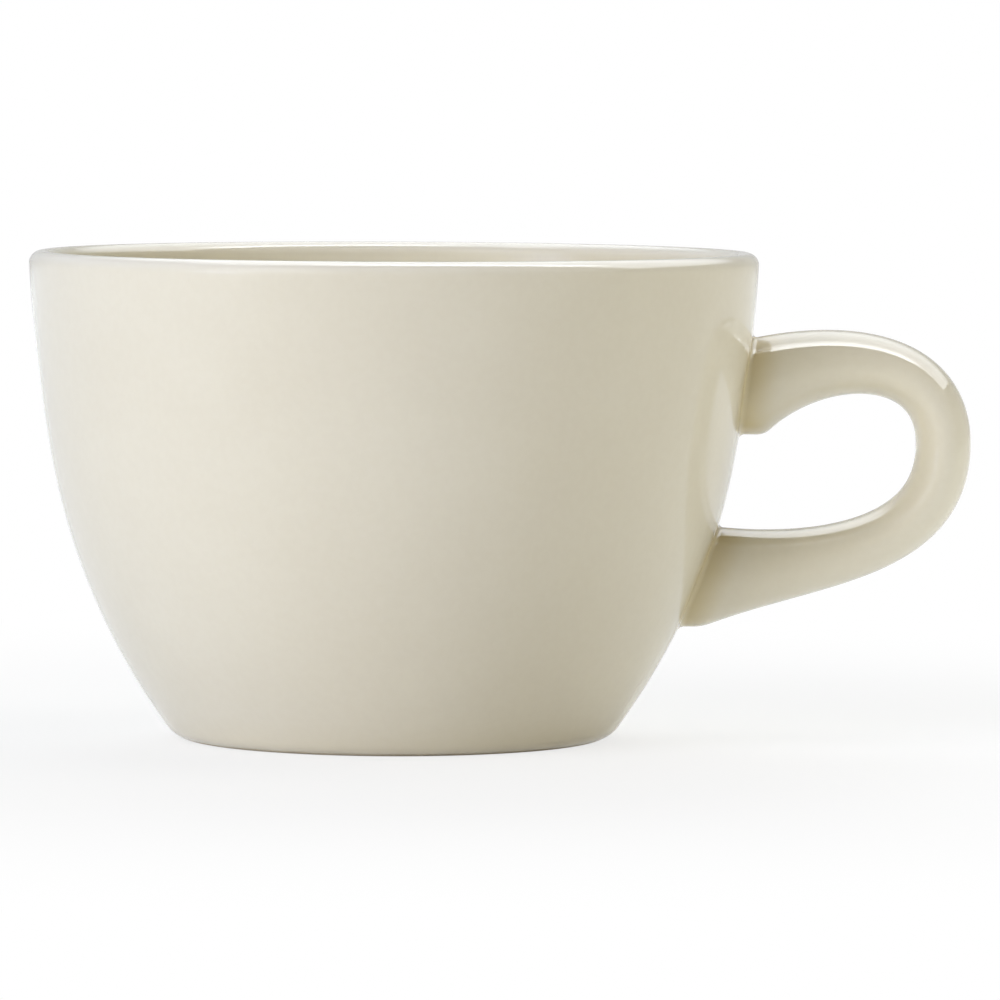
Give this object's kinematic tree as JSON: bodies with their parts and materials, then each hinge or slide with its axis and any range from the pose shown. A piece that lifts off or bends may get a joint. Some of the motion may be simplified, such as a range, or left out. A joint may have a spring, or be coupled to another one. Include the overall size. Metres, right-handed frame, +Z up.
{
  "type": "porcelain cup",
  "caption": "Low round cup with a curved belly, full-round lip, recessed foot ring and a thick oval loop handle, glazed ivory porcelain, for holding and drinking hot drinks.",
  "frame": {"origin": "on the cup's axis, in the plane of the foot ring's standing face", "axes": "+Z up along the cup's axis, +X towards the handle, +Y to the left when looking from the axis towards the handle"},
  "size_m": [0.1228, 0.095, 0.0635],
  "materials": {
    "glaze": "high-gloss clear glaze over ivory porcelain",
    "handle_glaze": "high-gloss clear glaze over ivory porcelain",
    "slip": "glazed slip seam, glaze pooled a little darker",
    "biscuit": "bare ground biscuit on the standing face, glazed above it"
  },
  "bodies": {
    "root": {"cup_body": "glaze", "foot_ring": "biscuit", "handle": "handle_glaze", "upper_slip_joint": "slip", "lower_slip_joint": "slip"}
  },
  "joints": []
}
